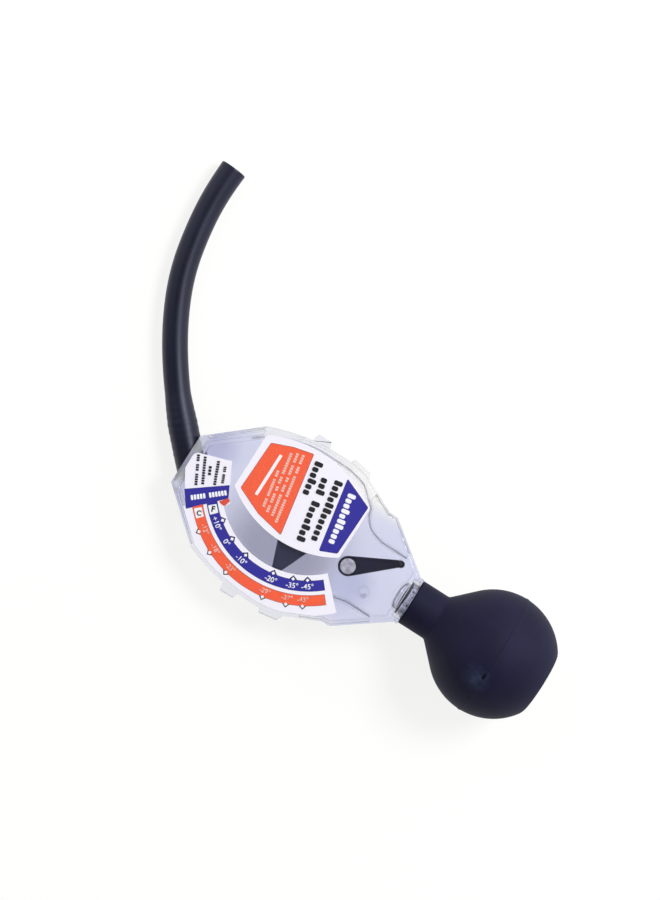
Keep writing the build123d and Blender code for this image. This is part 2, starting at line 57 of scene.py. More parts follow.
# Camera: square to the dial and rolled, so that the bulb points down to the right.
VIEW_WIDTH = 0.2541
VIEW_DISTANCE = 0.95
VIEW_ROLL = math.radians(32.5)
VIEW_ALONG = 0.04475
VIEW_ACROSS = 0.0325
picture_right = along_dial * math.cos(VIEW_ROLL) + across_dial * math.sin(VIEW_ROLL)
picture_up = across_dial * math.cos(VIEW_ROLL) - along_dial * math.sin(VIEW_ROLL)
view_middle = dial @ Vector((VIEW_ALONG, VIEW_ACROSS, 0))
bpy.ops.object.camera_add(location=view_middle + VIEW_DISTANCE * out_of_face)
camera = bpy.context.object
camera.name = "camera"
camera.rotation_euler = Matrix((picture_right, picture_up, out_of_face)).transposed().to_euler()
camera.data.sensor_fit = "HORIZONTAL"
camera.data.lens = camera.data.sensor_width * VIEW_DISTANCE / VIEW_WIDTH
bpy.context.scene.camera = camera

# Lights: a soft lamp to the picture's right and a wide weak one to its upper left, both well off
# the dial's face.
KEY_POWER = 8.1
FILL_POWER = 4.8
LAMP_HEIGHT = 0.85
for lamp_name, power, side, up, lamp_size, shine in (
    ("key_lamp", KEY_POWER, 0.62, 0.22, 0.34, 1.0),
    ("fill_lamp", FILL_POWER, -0.75, 0.6, 1.4, 0.3),
):
    place = view_middle + picture_right * side + picture_up * up + out_of_face * LAMP_HEIGHT
    bpy.ops.object.light_add(type="AREA", location=place)
    lamp = bpy.context.object
    lamp.name = lamp_name
    lamp.data.energy = power
    lamp.data.size = lamp_size
    lamp.data.specular_factor = shine
    lamp.rotation_euler = (view_middle - place).to_track_quat("-Z", "Y").to_euler()

# Room: pale all round, darkest behind the camera and to the left, so that flat faces mirror
# little of it and rims glow on their right.
ROOM_TINT = (0.90, 0.93, 1.0, 1)
ROOM_ABOVE = 0.10
ROOM_AROUND = 0.80
ROOM_DARK_FROM = 0.30
ROOM_DARK_TO = 0.92
ROOM_LEAN = 0.75


def wire(tree, kind, inputs, out=0, **settings):
    """Adds a shader node, sets or links its inputs, and returns one of its outputs."""
    node = tree.nodes.new("ShaderNode" + kind)
    for name, value in settings.items():
        setattr(node, name, value)
    for socket, value in inputs.items():
        if isinstance(value, bpy.types.NodeSocket):
            tree.links.new(value, node.inputs[socket])
        else:
            node.inputs[socket].default_value = value
    return node.outputs[out]


def remap(tree, value, from_min, from_max, to_min=0.0, to_max=1.0, smooth=True):
    """Maps one range of a value onto another, with soft ends or in a straight line."""
    return wire(tree, "MapRange", {"Value": value, "From Min": from_min, "From Max": from_max,
                                   "To Min": to_min, "To Max": to_max}, "Result",
                interpolation_type="SMOOTHSTEP" if smooth else "LINEAR")


room = bpy.data.worlds.new("room")
bpy.context.scene.world = room
room.use_nodes = True
tree = room.node_tree
toward = wire(tree, "TexCoord", {}, "Generated")
height = wire(tree, "VectorMath", {0: toward, 1: out_of_face}, "Value", operation="DOT_PRODUCT")
level = remap(tree, height, ROOM_DARK_FROM, ROOM_DARK_TO, ROOM_AROUND, ROOM_ABOVE)
lean_way = (picture_right * 0.85 + picture_up * 0.5) * ROOM_LEAN
lean = wire(tree, "VectorMath", {0: toward, 1: lean_way}, "Value", operation="DOT_PRODUCT")
strength = wire(tree, "Math", {0: lean, 1: level, 2: level}, operation="MULTIPLY_ADD")
sky = tree.nodes["Background"]
sky.inputs["Color"].default_value = ROOM_TINT
tree.links.new(strength, sky.inputs["Strength"])
bpy.context.scene.view_settings.view_transform = "Standard"

# Table: a wide pale sheet that shows white to the camera and still takes the tester's shadow.
# It glows a little, to the camera and through the clear plastic, as a lit sheet does.
TABLE_SIZE = 6
TABLE_DROP = 0.0001
TABLE_TINT = (0.93, 0.93, 0.92, 1)
GLOW_TINT = (1.0, 1.0, 0.985, 1)
GLOW_STRENGTH = 1.04
GLOW_SEEN = 0.8
GLOW_IN_PLASTIC = 0.92


def new_paint(name, values):
    """A fresh material with some of its shader's sockets set: the paint, its tree and the shader."""
    paint = bpy.data.materials.new(name)
    paint.use_nodes = True
    finish = paint.node_tree.nodes["Principled BSDF"]
    for socket, value in values.items():
        finish.inputs[socket].default_value = value
    return paint, paint.node_tree, finish


bpy.ops.object.select_all(action="DESELECT")
bpy.ops.mesh.primitive_plane_add(size=TABLE_SIZE, location=(0, 0, -TABLE_DROP))
table = bpy.context.object
table.name = "table"
table_paint, tree, finish = new_paint(
    "table_paint", {"Base Color": TABLE_TINT, "Roughness": 0.9, "Specular IOR Level": 0.1})
glow = wire(tree, "Emission", {"Color": GLOW_TINT, "Strength": GLOW_STRENGTH})
seen_in_plastic = wire(tree, "Math", {0: wire(tree, "LightPath", {}, "Is Transmission Ray"),
                                      1: wire(tree, "LightPath", {}, "Is Glossy Ray")},
                       operation="MAXIMUM")
through = wire(tree, "Math", {0: seen_in_plastic, 1: GLOW_IN_PLASTIC}, operation="MULTIPLY")
share = wire(tree, "Math", {0: wire(tree, "LightPath", {}, "Is Camera Ray"), 1: GLOW_SEEN, 2: through},
             operation="MULTIPLY_ADD")
glowing = wire(tree, "MixShader", {"Fac": share, 1: finish.outputs["BSDF"], 2: glow})
tree.links.new(glowing, tree.nodes["Material Output"].inputs["Surface"])
table.data.materials.append(table_paint)

# Suction hose: extruded black rubber tube, cut square at both ends and pushed over the barbed
# nozzle, which swells its first three centimetres. It keeps the curve it was packed with.
HOSE_DIAMETER = 0.010
HOSE_WALL = 0.002
HOSE_SWELL = 0.0008
HOSE_SWELL_END = 0.032
HOSE_TAPER = 0.012
HOSE_FLARE = 0.00026
HOSE_FLARE_RUN = 0.030
HOSE_EDGE = 0.00035
BARB_START = 0.004
BARB_PITCH = 0.0029
BARB_PRINT = 0.00007
hose_route = (
    (-0.0736734, -0.0034533, 0.0079569),
    (-0.0866508, 0.0096282, 0.0063102),
    (-0.09865, 0.0237, 0.0052),
    (-0.11005, 0.04065, 0.0050),
    (-0.11845, 0.05865, 0.0050),
    (-0.12235, 0.0764, 0.0050),
    (-0.12395, 0.09325, 0.0050),
    (-0.12325, 0.10395, 0.0050),
)


def stand(name, form):
    """A new object in the scene, for a mesh or a curve."""
    piece = bpy.data.objects.new(name, form)
    bpy.context.scene.collection.objects.link(piece)
    return piece


def only(piece):
    """Makes a piece the one selected and active object."""
    bpy.ops.object.select_all(action="DESELECT")
    piece.select_set(True)
    bpy.context.view_layer.objects.active = piece


hose_curve = bpy.data.curves.new("suction_hose_line", "CURVE")
hose_curve.dimensions = "3D"
hose_curve.resolution_u = 24
hose_spline = hose_curve.splines.new("NURBS")
hose_spline.points.add(len(hose_route) - 1)
for point, place in zip(hose_spline.points, hose_route):
    point.co = (*place, 1)
hose_spline.order_u = 3
hose_spline.use_endpoint_u = True
hose_line = stand("suction_hose_line", hose_curve)
line_mesh = bpy.data.meshes.new_from_object(hose_line)
hose_path = [vertex.co.copy() for vertex in line_mesh.vertices]
hose_curve.bevel_depth = HOSE_DIAMETER / 2
hose_curve.bevel_resolution = 14
only(hose_line)
bpy.ops.object.convert(target="MESH")
hose = bpy.context.object
hose.name = "rubber_suction_hose"
hose_run = [0.0]
for before, after in zip(hose_path, hose_path[1:]):
    hose_run.append(hose_run[-1] + (after - before).length)
for vertex in hose.data.vertices:
    nearest = min(range(len(hose_path)), key=lambda i: (hose_path[i] - vertex.co).length)
    run = hose_run[nearest]
    outward = (vertex.co - hose_path[nearest]).normalized()
    if run < HOSE_SWELL_END:
        fade = min(1.0, (HOSE_SWELL_END - run) / HOSE_TAPER)
        barbs = BARB_PRINT * math.cos(run / BARB_PITCH * 2 * math.pi) if run > BARB_START else 0.0
        vertex.co += outward * (HOSE_SWELL * fade + barbs * fade)
    opening = max(0.0, 1 - (hose_run[-1] - run) / HOSE_FLARE_RUN) ** 2
    vertex.co += (outward + Vector((0, 0, 1))) * HOSE_FLARE * opening
wall = hose.modifiers.new("wall", "SOLIDIFY")
wall.thickness = HOSE_WALL
wall.offset = -1
bpy.ops.object.modifier_apply(modifier="wall")
edge = hose.modifiers.new("cut_edge", "BEVEL")
edge.width = HOSE_EDGE
edge.segments = 2
edge.limit_method = "ANGLE"
edge.angle_limit = math.radians(50)
bpy.ops.object.modifier_apply(modifier="cut_edge")
bpy.ops.object.shade_smooth_by_angle(angle=math.radians(40))


def ramp(tree, value, *stops):
    """A colour for each value, between stops that are a position and a colour."""
    node = tree.nodes.new("ShaderNodeValToRGB")
    elements = node.color_ramp.elements
    elements[0].position = stops[0][0]
    elements[-1].position = stops[-1][0]
    for position, colour in stops[1:-1]:
        elements.new(position)
    for element, (position, colour) in zip(elements, stops):
        element.color = (*colour, 1)
    tree.links.new(value, node.inputs["Fac"])
    return node.outputs["Color"]


def new_group(name, takes, gives):
    """A shader node group with named sockets: the group, what comes into it and what goes out."""
    group = bpy.data.node_groups.new(name, "ShaderNodeTree")
    for way, sockets in (("INPUT", takes), ("OUTPUT", gives)):
        for socket, kind in sockets.items():
            group.interface.new_socket(socket, in_out=way, socket_type="NodeSocket" + kind)
    return group, group.nodes.new("NodeGroupInput").outputs, group.nodes.new("NodeGroupOutput").inputs


surface_grain, taken, given = new_group("surface_grain", {"Scale": "Float", "Detail": "Float"},
                                        {"Mask": "Float"})
noise = wire(surface_grain, "TexNoise", {"Vector": wire(surface_grain, "TexCoord", {}, "Object"),
                                         "Scale": taken["Scale"], "Detail": taken["Detail"]}, "Fac")
surface_grain.links.new(noise, given["Mask"])


def grain(tree, scale, detail=2.0):
    """The grain of a piece's own surface, placed in a paint."""
    return wire(tree, "Group", {"Scale": scale, "Detail": detail}, "Mask", node_tree=surface_grain)


def rubber(name, tint, roughness, gloss, tooth_scale, tooth_height):
    """Moulded or extruded black rubber: a fine tooth, and a faint bloom in large soft patches."""
    paint, tree, finish = new_paint(name, {"Specular IOR Level": gloss, "Specular Tint": (0.8, 0.84, 1.0, 1)})
    bloom = grain(tree, 60, 3)
    bloomed = tuple(channel * 1.5 + 0.001 for channel in tint)
    tree.links.new(ramp(tree, bloom, (0.35, tint), (0.75, bloomed)), finish.inputs["Base Color"])
    dull = remap(tree, bloom, 0, 1, roughness - 0.06, roughness + 0.08, smooth=False)
    tree.links.new(dull, finish.inputs["Roughness"])
    tooth = wire(tree, "Bump", {"Strength": 0.35, "Distance": tooth_height,
                                "Height": grain(tree, tooth_scale, 4)})
    tree.links.new(tooth, finish.inputs["Normal"])
    return paint


hose.data.materials.clear()
hose.data.materials.append(rubber("hose_rubber", (0.0030, 0.0033, 0.0145), 0.43, 0.46, 2500, 0.00003))
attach(hose, "housing")
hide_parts("suction_hose")

# Squeeze bulb: blow-moulded black rubber with a neck, a flat end and a parting seam round its
# middle, all turned from one profile.
BULB_CENTRE = 0.1399
BULB_RADIUS = 0.0249
BULB_WALL = 0.0024
BULB_FLAT = 0.0133
BULB_STEPS = 56
SHOULDER = math.radians(45)
NECK_START = 0.102
NECK_RADIUS = 0.0094
NECK_BORE = 0.0071
NECK_BLEND = 0.0018
NECK_ROUND = 0.0005
BORE_ROUND = 0.0003
FLAT_EDGE = 0.0004
SEAM_RISE = 0.00019
SEAM_WIDTH = 0.0006
SEAM_TURN = 0.0075
flat_along = BULB_CENTRE + math.sqrt(BULB_RADIUS**2 - BULB_FLAT**2)
profile = [(NECK_START + BORE_ROUND, NECK_BORE), (NECK_START, NECK_BORE + BORE_ROUND),
           (NECK_START, NECK_RADIUS - NECK_ROUND), (NECK_START + NECK_ROUND, NECK_RADIUS)]
neck_meet = (BULB_CENTRE - BULB_RADIUS * math.sin(SHOULDER)
             - (BULB_RADIUS * math.cos(SHOULDER) - NECK_RADIUS) / math.tan(SHOULDER))
blend_along = neck_meet - NECK_BLEND * math.tan(SHOULDER / 2)
for step in range(7):
    turn = math.radians(-90) + SHOULDER * step / 6
    profile.append((blend_along + NECK_BLEND * math.cos(turn),
                    NECK_RADIUS + NECK_BLEND + NECK_BLEND * math.sin(turn)))
flat_angle = math.asin(BULB_FLAT / BULB_RADIUS)
shoulder_angle = math.pi / 2 + SHOULDER
turns = [shoulder_angle + (flat_angle - shoulder_angle) * step / BULB_STEPS for step in range(BULB_STEPS)]
turns += [math.pi / 2 + side * SEAM_TURN for side in range(-8, 9)]
for turn in sorted(turns, reverse=True):
    along = BULB_CENTRE + BULB_RADIUS * math.cos(turn)
    seam = SEAM_RISE * math.exp(-((along - BULB_CENTRE) / SEAM_WIDTH) ** 2)
    profile.append((along, (BULB_RADIUS + seam) * math.sin(turn)))
for step in range(5):
    turn = flat_angle * (1 - step / 4)
    profile.append((flat_along - FLAT_EDGE + FLAT_EDGE * math.cos(turn),
                    BULB_FLAT - FLAT_EDGE + FLAT_EDGE * math.sin(turn)))
inner = BULB_RADIUS - BULB_WALL
inner_flat = flat_along - BULB_WALL
inner_start = math.acos((inner_flat - BULB_CENTRE) / inner)
profile += [(flat_along, 0.0), (inner_flat, 0.0)]
for step in range(33):
    turn = inner_start + (shoulder_angle - inner_start) * step / 32
    profile.append((BULB_CENTRE + inner * math.cos(turn), inner * math.sin(turn)))
profile.append((BULB_CENTRE - inner * math.sin(SHOULDER)
                - (inner * math.cos(SHOULDER) - NECK_BORE) / math.tan(SHOULDER), NECK_BORE))
profile.append(profile[0])
bulb_mesh = bpy.data.meshes.new("squeeze_bulb_profile")
bulb_mesh.from_pydata([(along, 0, radius) for along, radius in profile],
                      [(i, i + 1) for i in range(len(profile) - 1)], [])
bulb = stand("moulded_squeeze_bulb", bulb_mesh)
only(bulb)
bpy.ops.object.mode_set(mode="EDIT")
bpy.ops.mesh.select_all(action="SELECT")
bpy.ops.mesh.spin(steps=128, angle=2 * math.pi, center=(0, 0, 0), axis=(1, 0, 0))
bpy.ops.mesh.select_all(action="SELECT")
bpy.ops.mesh.remove_doubles(threshold=0.00001)
bpy.ops.mesh.delete_loose()
bpy.ops.mesh.select_all(action="SELECT")
bpy.ops.mesh.normals_make_consistent(inside=False)
bpy.ops.object.mode_set(mode="OBJECT")
bulb.data.transform(dial)
bpy.ops.object.shade_smooth_by_angle(angle=math.radians(40))
bulb_rubber = rubber("bulb_rubber", (0.0078, 0.0070, 0.024), 0.66, 0.20, 1800, 0.00006)
bulb.data.materials.append(bulb_rubber)
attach(bulb, "housing")
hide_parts("squeeze_bulb")

# Scar on the bulb, left where its seam was trimmed: a short ragged slit across the dial, painted near black
# as the shade inside it, and beside it a paler, patchy patch of painted sheen.
SCAR_ALONG = 0.1392
SCAR_ACROSS = -0.0083
SCAR_HALF = 0.0033
SCAR_RAGGED = 0.0005
SCAR_DEPTH = 0.0006
SLIT_EDGE = 0.00055
SLIT_RIM = 0.0009
SHEEN_SHIFT = Vector((-0.0022, -0.0024, -0.0008))
SHEEN_PATCHY = 0.006
SHEEN_INNER = 0.0025
SHEEN_OUTER = 0.0095
scar_out = math.sqrt(BULB_RADIUS**2 - (SCAR_ALONG - BULB_CENTRE) ** 2 - SCAR_ACROSS**2)
scar_place = Vector((SCAR_ALONG, SCAR_ACROSS, scar_out))
scar_middle = dial @ scar_place
sheen_middle = dial @ (scar_place + SHEEN_SHIFT)
scar_way = (across_dial + along_dial * 0.09).normalized()
tree = bulb_rubber.node_tree
finish = tree.nodes["Principled BSDF"]
where = wire(tree, "TexCoord", {}, "Object")
offset = wire(tree, "VectorMath", {0: where, 1: scar_middle}, operation="SUBTRACT")
run = wire(tree, "VectorMath", {0: offset, 1: scar_way}, "Value", operation="DOT_PRODUCT")
held = wire(tree, "Clamp", {"Value": run, "Min": -SCAR_HALF, "Max": SCAR_HALF})
on_slit = wire(tree, "VectorMath", {0: scar_way, "Scale": held}, operation="SCALE")
gap = wire(tree, "VectorMath", {0: offset, 1: on_slit}, "Value", operation="DISTANCE")
uneven = grain(tree, 420, 3)
ragged = wire(tree, "Math", {0: uneven, 1: SCAR_RAGGED, 2: gap}, operation="MULTIPLY_ADD")
slit = remap(tree, ragged, SLIT_EDGE, SLIT_RIM)
# Painted sheen: a paler bluish patch added to the rubber's colour beside the slit.
away = wire(tree, "VectorMath", {0: where, 1: sheen_middle}, "Value", operation="DISTANCE")
patchy = wire(tree, "Math", {0: uneven, 1: SHEEN_PATCHY, 2: away}, operation="MULTIPLY_ADD")
painted_sheen = ramp(tree, remap(tree, patchy, SHEEN_INNER, SHEEN_OUTER, smooth=False),
             (0.0, (0.036, 0.046, 0.070)), (0.45, (0.009, 0.014, 0.025)), (1.0, (0, 0, 0)))
colour, normal = finish.inputs["Base Color"], finish.inputs["Normal"]
sheened = wire(tree, "Mix", {"A": colour.links[0].from_socket, "B": painted_sheen, "Factor": 1.0}, "Result",
               data_type="RGBA", blend_type="ADD")
# Inside the slit the colour goes near black: painted shade in the groove, which is also bumped in.
tree.links.new(wire(tree, "Mix", {"A": (0.001, 0.001, 0.002, 1), "B": sheened, "Factor": slit}, "Result",
                    data_type="RGBA"), colour)
tree.links.new(wire(tree, "Bump", {"Strength": 1.0, "Distance": SCAR_DEPTH, "Height": slit,
                                   "Normal": normal.links[0].from_socket}), normal)

# Housing halves: two clear styrene mouldings, snapped and sealed face to face, the front one cloudy
# where it closes round the hose's socket. A mould leaves their edges eased, and a hair's gap parts
# them.
PARTING_GAP = 0.00002
EASE = 0.00015
FLAT_ANGLE = math.radians(0.6)
SHARP_ANGLE = math.radians(38)
INNER_FACE = 5.9
REAR_FACE = -7
EDGE_SHADE = 0.55
EDGE_ON = 0.2
EDGE_OFF = 0.85
RIM_START = 0.0195
RIM_END = 0.0265
RIM_PAINTED_LIGHT = (1.0, 0.99, 1.0, 1)
CLOUD_START = 0.0022
CLOUD_END = 0.0050
CLOUD_CLARITY = 0.62


def clear_plastic(name, tint, roughness, haze):
    """Clear moulding: bends and mirrors the light, with a faint tint, flow ripples and a thin haze."""
    paint, tree, finish = new_paint(name, {
        "Base Color": (*tint, 1), "Roughness": roughness, "IOR": 1.2, "Transmission Weight": 1 - haze,
        "Coat Weight": 0.7, "Coat Roughness": roughness, "Coat IOR": 1.45})
    wave = wire(tree, "Bump", {"Strength": 0.15, "Distance": 0.0002, "Height": grain(tree, 90)})
    tree.links.new(wave, finish.inputs["Normal"])
    return paint


soft_spot, taken, given = new_group(
    "soft_spot", {"Colour": "Color", "Spot": "Color", "Middle": "Vector", "Inner": "Float", "Outer": "Float"},
    {"Colour": "Color"})
away = wire(soft_spot, "VectorMath", {0: wire(soft_spot, "TexCoord", {}, "Object"), 1: taken["Middle"]},
            "Value", operation="DISTANCE")
fade = remap(soft_spot, away, taken["Inner"], taken["Outer"])
blend = wire(soft_spot, "Mix", {"A": taken["Spot"], "B": taken["Colour"], "Factor": fade}, "Result",
             data_type="RGBA")
soft_spot.links.new(blend, given["Colour"])


def spotted(paint, spots):
    """Soft round marks in a paint: middle, inner and outer reach in dial millimetres, and colour."""
    tree = paint.node_tree
    colour = tree.nodes["Principled BSDF"].inputs["Base Color"]
    for middle, inner_reach, outer_reach, tint in spots:
        under = colour.links[0].from_socket if colour.links else colour.default_value
        place = dial @ (Vector(middle) / 1000)
        spot = wire(tree, "Group", {"Colour": under, "Spot": (*tint, 1), "Middle": place,
                                    "Inner": inner_reach / 1000, "Outer": outer_reach / 1000},
                    "Colour", node_tree=soft_spot)
        tree.links.new(spot, colour)


# Painted shade on edge walls: the clear paint's colour is darkened where its surface turns edge-on to the
# dial.
edge_shade, taken, given = new_group("edge_shade", {"Colour": "Color"}, {"Colour": "Color"})
facing = wire(edge_shade, "VectorMath", {0: wire(edge_shade, "TexCoord", {}, "Normal"), 1: out_of_face},
              "Value", operation="DOT_PRODUCT")
flatness = wire(edge_shade, "Math", {0: facing}, operation="ABSOLUTE")
edge_shading = remap(edge_shade, flatness, EDGE_ON, EDGE_OFF, EDGE_SHADE, smooth=False)
deepened = wire(edge_shade, "VectorMath", {0: taken["Colour"], "Scale": edge_shading}, operation="SCALE")
edge_shade.links.new(deepened, given["Colour"])


def dark_edges(paint):
    """Paints shade into a spotted clear paint where its surface stands on edge to the dial, so its edge walls
    show as dark lines.
    """
    tree = paint.node_tree
    colour = tree.nodes["Principled BSDF"].inputs["Base Color"]
    deep = wire(tree, "Group", {"Colour": colour.links[0].from_socket}, "Colour", node_tree=edge_shade)
    tree.links.new(deep, colour)


def eased(node, name, paint, body, width, parting=0.0):
    """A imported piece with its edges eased, which stands in for it."""
    mesh = frame["nodes"][node].data.copy()
    form = bmesh.new()
    form.from_mesh(mesh)
    bmesh.ops.remove_doubles(form, verts=form.verts, dist=0.000001)
    bmesh.ops.dissolve_limit(form, angle_limit=FLAT_ANGLE, verts=form.verts, edges=form.edges)
    for vertex in form.verts:
        if parting and abs((vertex.co - dial.translation).dot(out_of_face)) < 0.00001:
            vertex.co += out_of_face * parting
    form.to_mesh(mesh)
    form.free()
    piece = stand(name, mesh)
    only(piece)
    ease = piece.modifiers.new("ease", "BEVEL")
    ease.width = width
    ease.segments = 2
    ease.limit_method = "ANGLE"
    ease.angle_limit = SHARP_ANGLE
    ease.use_clamp_overlap = False
    bpy.ops.object.modifier_apply(modifier="ease")
    bpy.ops.object.shade_smooth_by_angle(angle=math.radians(30))
    level = piece.modifiers.new("level", "WEIGHTED_NORMAL")
    level.keep_sharp = True
    bpy.ops.object.modifier_apply(modifier="level")
    mesh.materials.clear()
    mesh.materials.append(paint)
    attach(piece, body)
    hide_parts(node)


# The rear half's tint is darker than the front's, and darker still in a broad soft spot round the chamber's
# middle: painted shade of the labels over the chamber.
rear_clear = clear_plastic("rear_clear", (0.82, 0.83, 0.99), 0.08, 0.03)
spotted(rear_clear, [((50, -12, REAR_FACE), 10, 36, (0.43, 0.43, 0.55))])
tree = rear_clear.node_tree
colour = tree.nodes["Principled BSDF"].inputs["Base Color"]
# Its rims, beyond the chamber, are painted nearly white: painted light where no shade falls.
side = wire(tree, "VectorMath", {0: wire(tree, "TexCoord", {}, "Object"), 1: across_dial}, "Value",
            operation="DOT_PRODUCT")
rim_light = remap(tree, wire(tree, "Math", {0: side}, operation="ABSOLUTE"), RIM_START, RIM_END)
tree.links.new(wire(tree, "Mix", {"A": colour.links[0].from_socket, "B": RIM_PAINTED_LIGHT, "Factor": rim_light}, "Result",
                    data_type="RGBA"), colour)
# Smaller darker spots near the hose's end and near the neck: more painted shade.
spotted(rear_clear, [((6, 9, REAR_FACE), 3, 14, (0.60, 0.60, 0.82)),
                     ((5, -12, REAR_FACE), 2, 10, (0.62, 0.62, 0.82)),
                     ((79.5, -7.5, REAR_FACE), 2, 13, (0.62, 0.63, 0.84))])
dark_edges(rear_clear)

front_clear = clear_plastic("front_clear", (0.93, 0.94, 1.0), 0.04, 0.008)
# Painted light and shade in the front half: a white glow over its upper flange, a darker tint at the hose's
# socket, and at the mould ring near the neck a dark crescent of painted shade beside a painted highlight.
spotted(front_clear, [((66, 32, 6), 6, 24, (1.0, 1.0, 1.0)), ((0, 0, 2), 3, 9, (0.70, 0.71, 1.0)),
                      ((85.3, -7.5, INNER_FACE), 0.6, 1.9, (0.45, 0.44, 0.55)),
                      ((84.1, -6.1, INNER_FACE), 0.9, 1.8, (1.0, 1.0, 1.0))])
dark_edges(front_clear)
tree = front_clear.node_tree
from_end = wire(tree, "VectorMath", {0: wire(tree, "TexCoord", {}, "Object"), 1: dial.translation},
                operation="SUBTRACT")
inward = wire(tree, "VectorMath", {0: from_end, 1: along_dial}, "Value", operation="DOT_PRODUCT")
clarity = tree.nodes["Principled BSDF"].inputs["Transmission Weight"]
full = clarity.default_value
tree.links.new(remap(tree, inward, CLOUD_START, CLOUD_END, full * CLOUD_CLARITY, full), clarity)
eased("front_shell", "clear_front_half", front_clear, "housing", EASE, PARTING_GAP)
eased("rear_shell", "clear_rear_half", rear_clear, "housing", EASE, -PARTING_GAP)

# Chamber seal, nozzle and spigot: a cloudy soft bead in the chamber's wall, a milky barbed tube
# inside the hose, and a clear flanged tube inside the bulb's neck, glued into its collar.
NOZZLE_EASE = 0.0001
COLLAR_BORE = 8.2
# Each mark is its place along and across the dial, its reach, and how pale it is. The darkest are dry gaps
# where the black neck shows; the others are bubbles, drawn as a painted shade ring round a painted highlight.
GLUE_GAPS_AND_BUBBLE_SHADING = (
    (100.4, -4.6, 1.6, 0.5), (100.5, -1.8, 0.9, 0.25), (100.5, -1.8, 0.5, 0.9),
    (100.3, 6.3, 0.7, 0.08), (100.9, 3.7, 0.6, 0.10), (101.8, -2.0, 0.8, 0.02),
    (101.8, 6.1, 0.8, 0.02), (101.6, 1.9, 0.5, 0.10), (99.8, 4.9, 0.5, 0.3),
)


def plain_plastic(name, colour, roughness, shine=0.5):
    """Moulded plastic with a faint flow pattern in its gloss."""
    paint, tree, finish = new_paint(name, {"Base Color": (*colour, 1), "Specular IOR Level": shine})
    gloss = remap(tree, grain(tree, 300), 0, 1, roughness - 0.05, roughness + 0.08, smooth=False)
    tree.links.new(gloss, finish.inputs["Roughness"])
    return paint


def finish_node(name, paint):
    """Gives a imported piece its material."""
    piece = frame["nodes"][name]
    piece.data.materials.clear()
    piece.data.materials.append(paint)


finish_node("chamber_seal", clear_plastic("sealing_bead", (0.90, 0.90, 0.97), 0.3, 0.25))
milky = plain_plastic("milky_plastic", (0.70, 0.70, 0.95), 0.35)
eased("hose_nozzle", "barbed_nozzle", milky, "housing", NOZZLE_EASE)
flange_plastic = clear_plastic("flange_plastic", (0.95, 0.95, 1.0), 0.1, 0.08)
glue = clear_plastic("cured_glue", (0.95, 0.95, 0.98), 0.1, 0.08)
# The flange and the glue both carry the marks: dark dry gaps, and bubbles painted as shade round a highlight.
for paint in (flange_plastic, glue):
    spotted(paint, [((along, across, math.sqrt(COLLAR_BORE**2 - across**2)), reach * 0.5, reach * 1.2,
                     (shade, shade, shade * 1.05)) for along, across, reach, shade in GLUE_GAPS_AND_BUBBLE_SHADING])
finish_node("neck_spigot", flange_plastic)

# Pointer and plumb arm: dark moulded plastic with rounded edges, duller on the floating pointer
# and nearly black on the teardrop arm.
POINTER_EASE = 0.00015
ARM_EASE = 0.0002
dark = plain_plastic("dark_plastic", (0.040, 0.043, 0.092), 0.5, shine=0.25)
eased("pointer_vane", "moulded_pointer", dark, "pointer", POINTER_EASE)
black = plain_plastic("black_plastic", (0.008, 0.009, 0.034), 0.5, shine=0.15)
eased("plumb_arm", "moulded_plumb_arm", black, "plumb", ARM_EASE)

# Metal slugs and pins: cast metal with a blotched, slightly pitted skin, and a darker, smoother
# steel pin in the plumb arm.
BLOTCH_SCALE = 620
PIT_DEPTH = 0.0002
cast_metal, tree, finish = new_paint("cast_metal", {"Metallic": 0.1, "Roughness": 0.5})
blotch = grain(tree, BLOTCH_SCALE, 3)
tree.links.new(ramp(tree, blotch, (0.36, (0.64, 0.58, 0.67)), (0.62, (1.0, 1.0, 1.0))),
               finish.inputs["Base Color"])
pits = wire(tree, "Bump", {"Strength": 0.5, "Distance": PIT_DEPTH, "Height": blotch})
tree.links.new(pits, finish.inputs["Normal"])
for metal_piece in ("pointer_weight", "plumb_weight", "pivot_pin"):
    finish_node(metal_piece, cast_metal)
finish_node("plumb_pin", plain_plastic("dull_steel", (0.05, 0.05, 0.06), 0.4))

# Neck seal: a black washer squeezed thicker on the label's side, and behind it a bead of cured
# glue, clear and lumpy, with bubbles painted in as shade and highlight and a few dry gaps in it.
WASHER_START = 98.72
WASHER_END = 99.28
WASHER_BORE = 7.5
WASHER_EDGE = 8.28
WASHER_CHAMFER = 0.08
LIP_START = 99.4
LIP_EDGE = 8.22
LIP_GROWTH = 0.45
LIP_TURN = 1.1
LIP_SPREAD = 0.5
BEAD_START = 100.52
BEAD_BORE = 7.15
BEAD_EDGE = 8.27


def ring(name, steps, section, paint, node):
    """A ring about the dial's long axis whose section, in millimetres, may change round it."""
    form = bmesh.new()
    loops = []
    for step in range(steps):
        turn = 2 * math.pi * step / steps
        loops.append([form.verts.new((along / 1000, radius / 1000 * math.cos(turn),
                                      radius / 1000 * math.sin(turn)))
                      for along, radius in section(turn)])
    for loop, after in zip(loops, loops[1:] + loops[:1]):
        for place in range(len(loop)):
            form.faces.new((loop[place - 1], loop[place], after[place], after[place - 1]))
    bmesh.ops.recalc_face_normals(form, faces=form.faces)
    mesh = bpy.data.meshes.new(name)
    form.to_mesh(mesh)
    form.free()
    mesh.transform(dial)
    piece = stand(name, mesh)
    only(piece)
    bpy.ops.object.shade_smooth_by_angle(angle=math.radians(35))
    mesh.materials.append(paint)
    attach(piece, "housing")
    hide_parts(node)


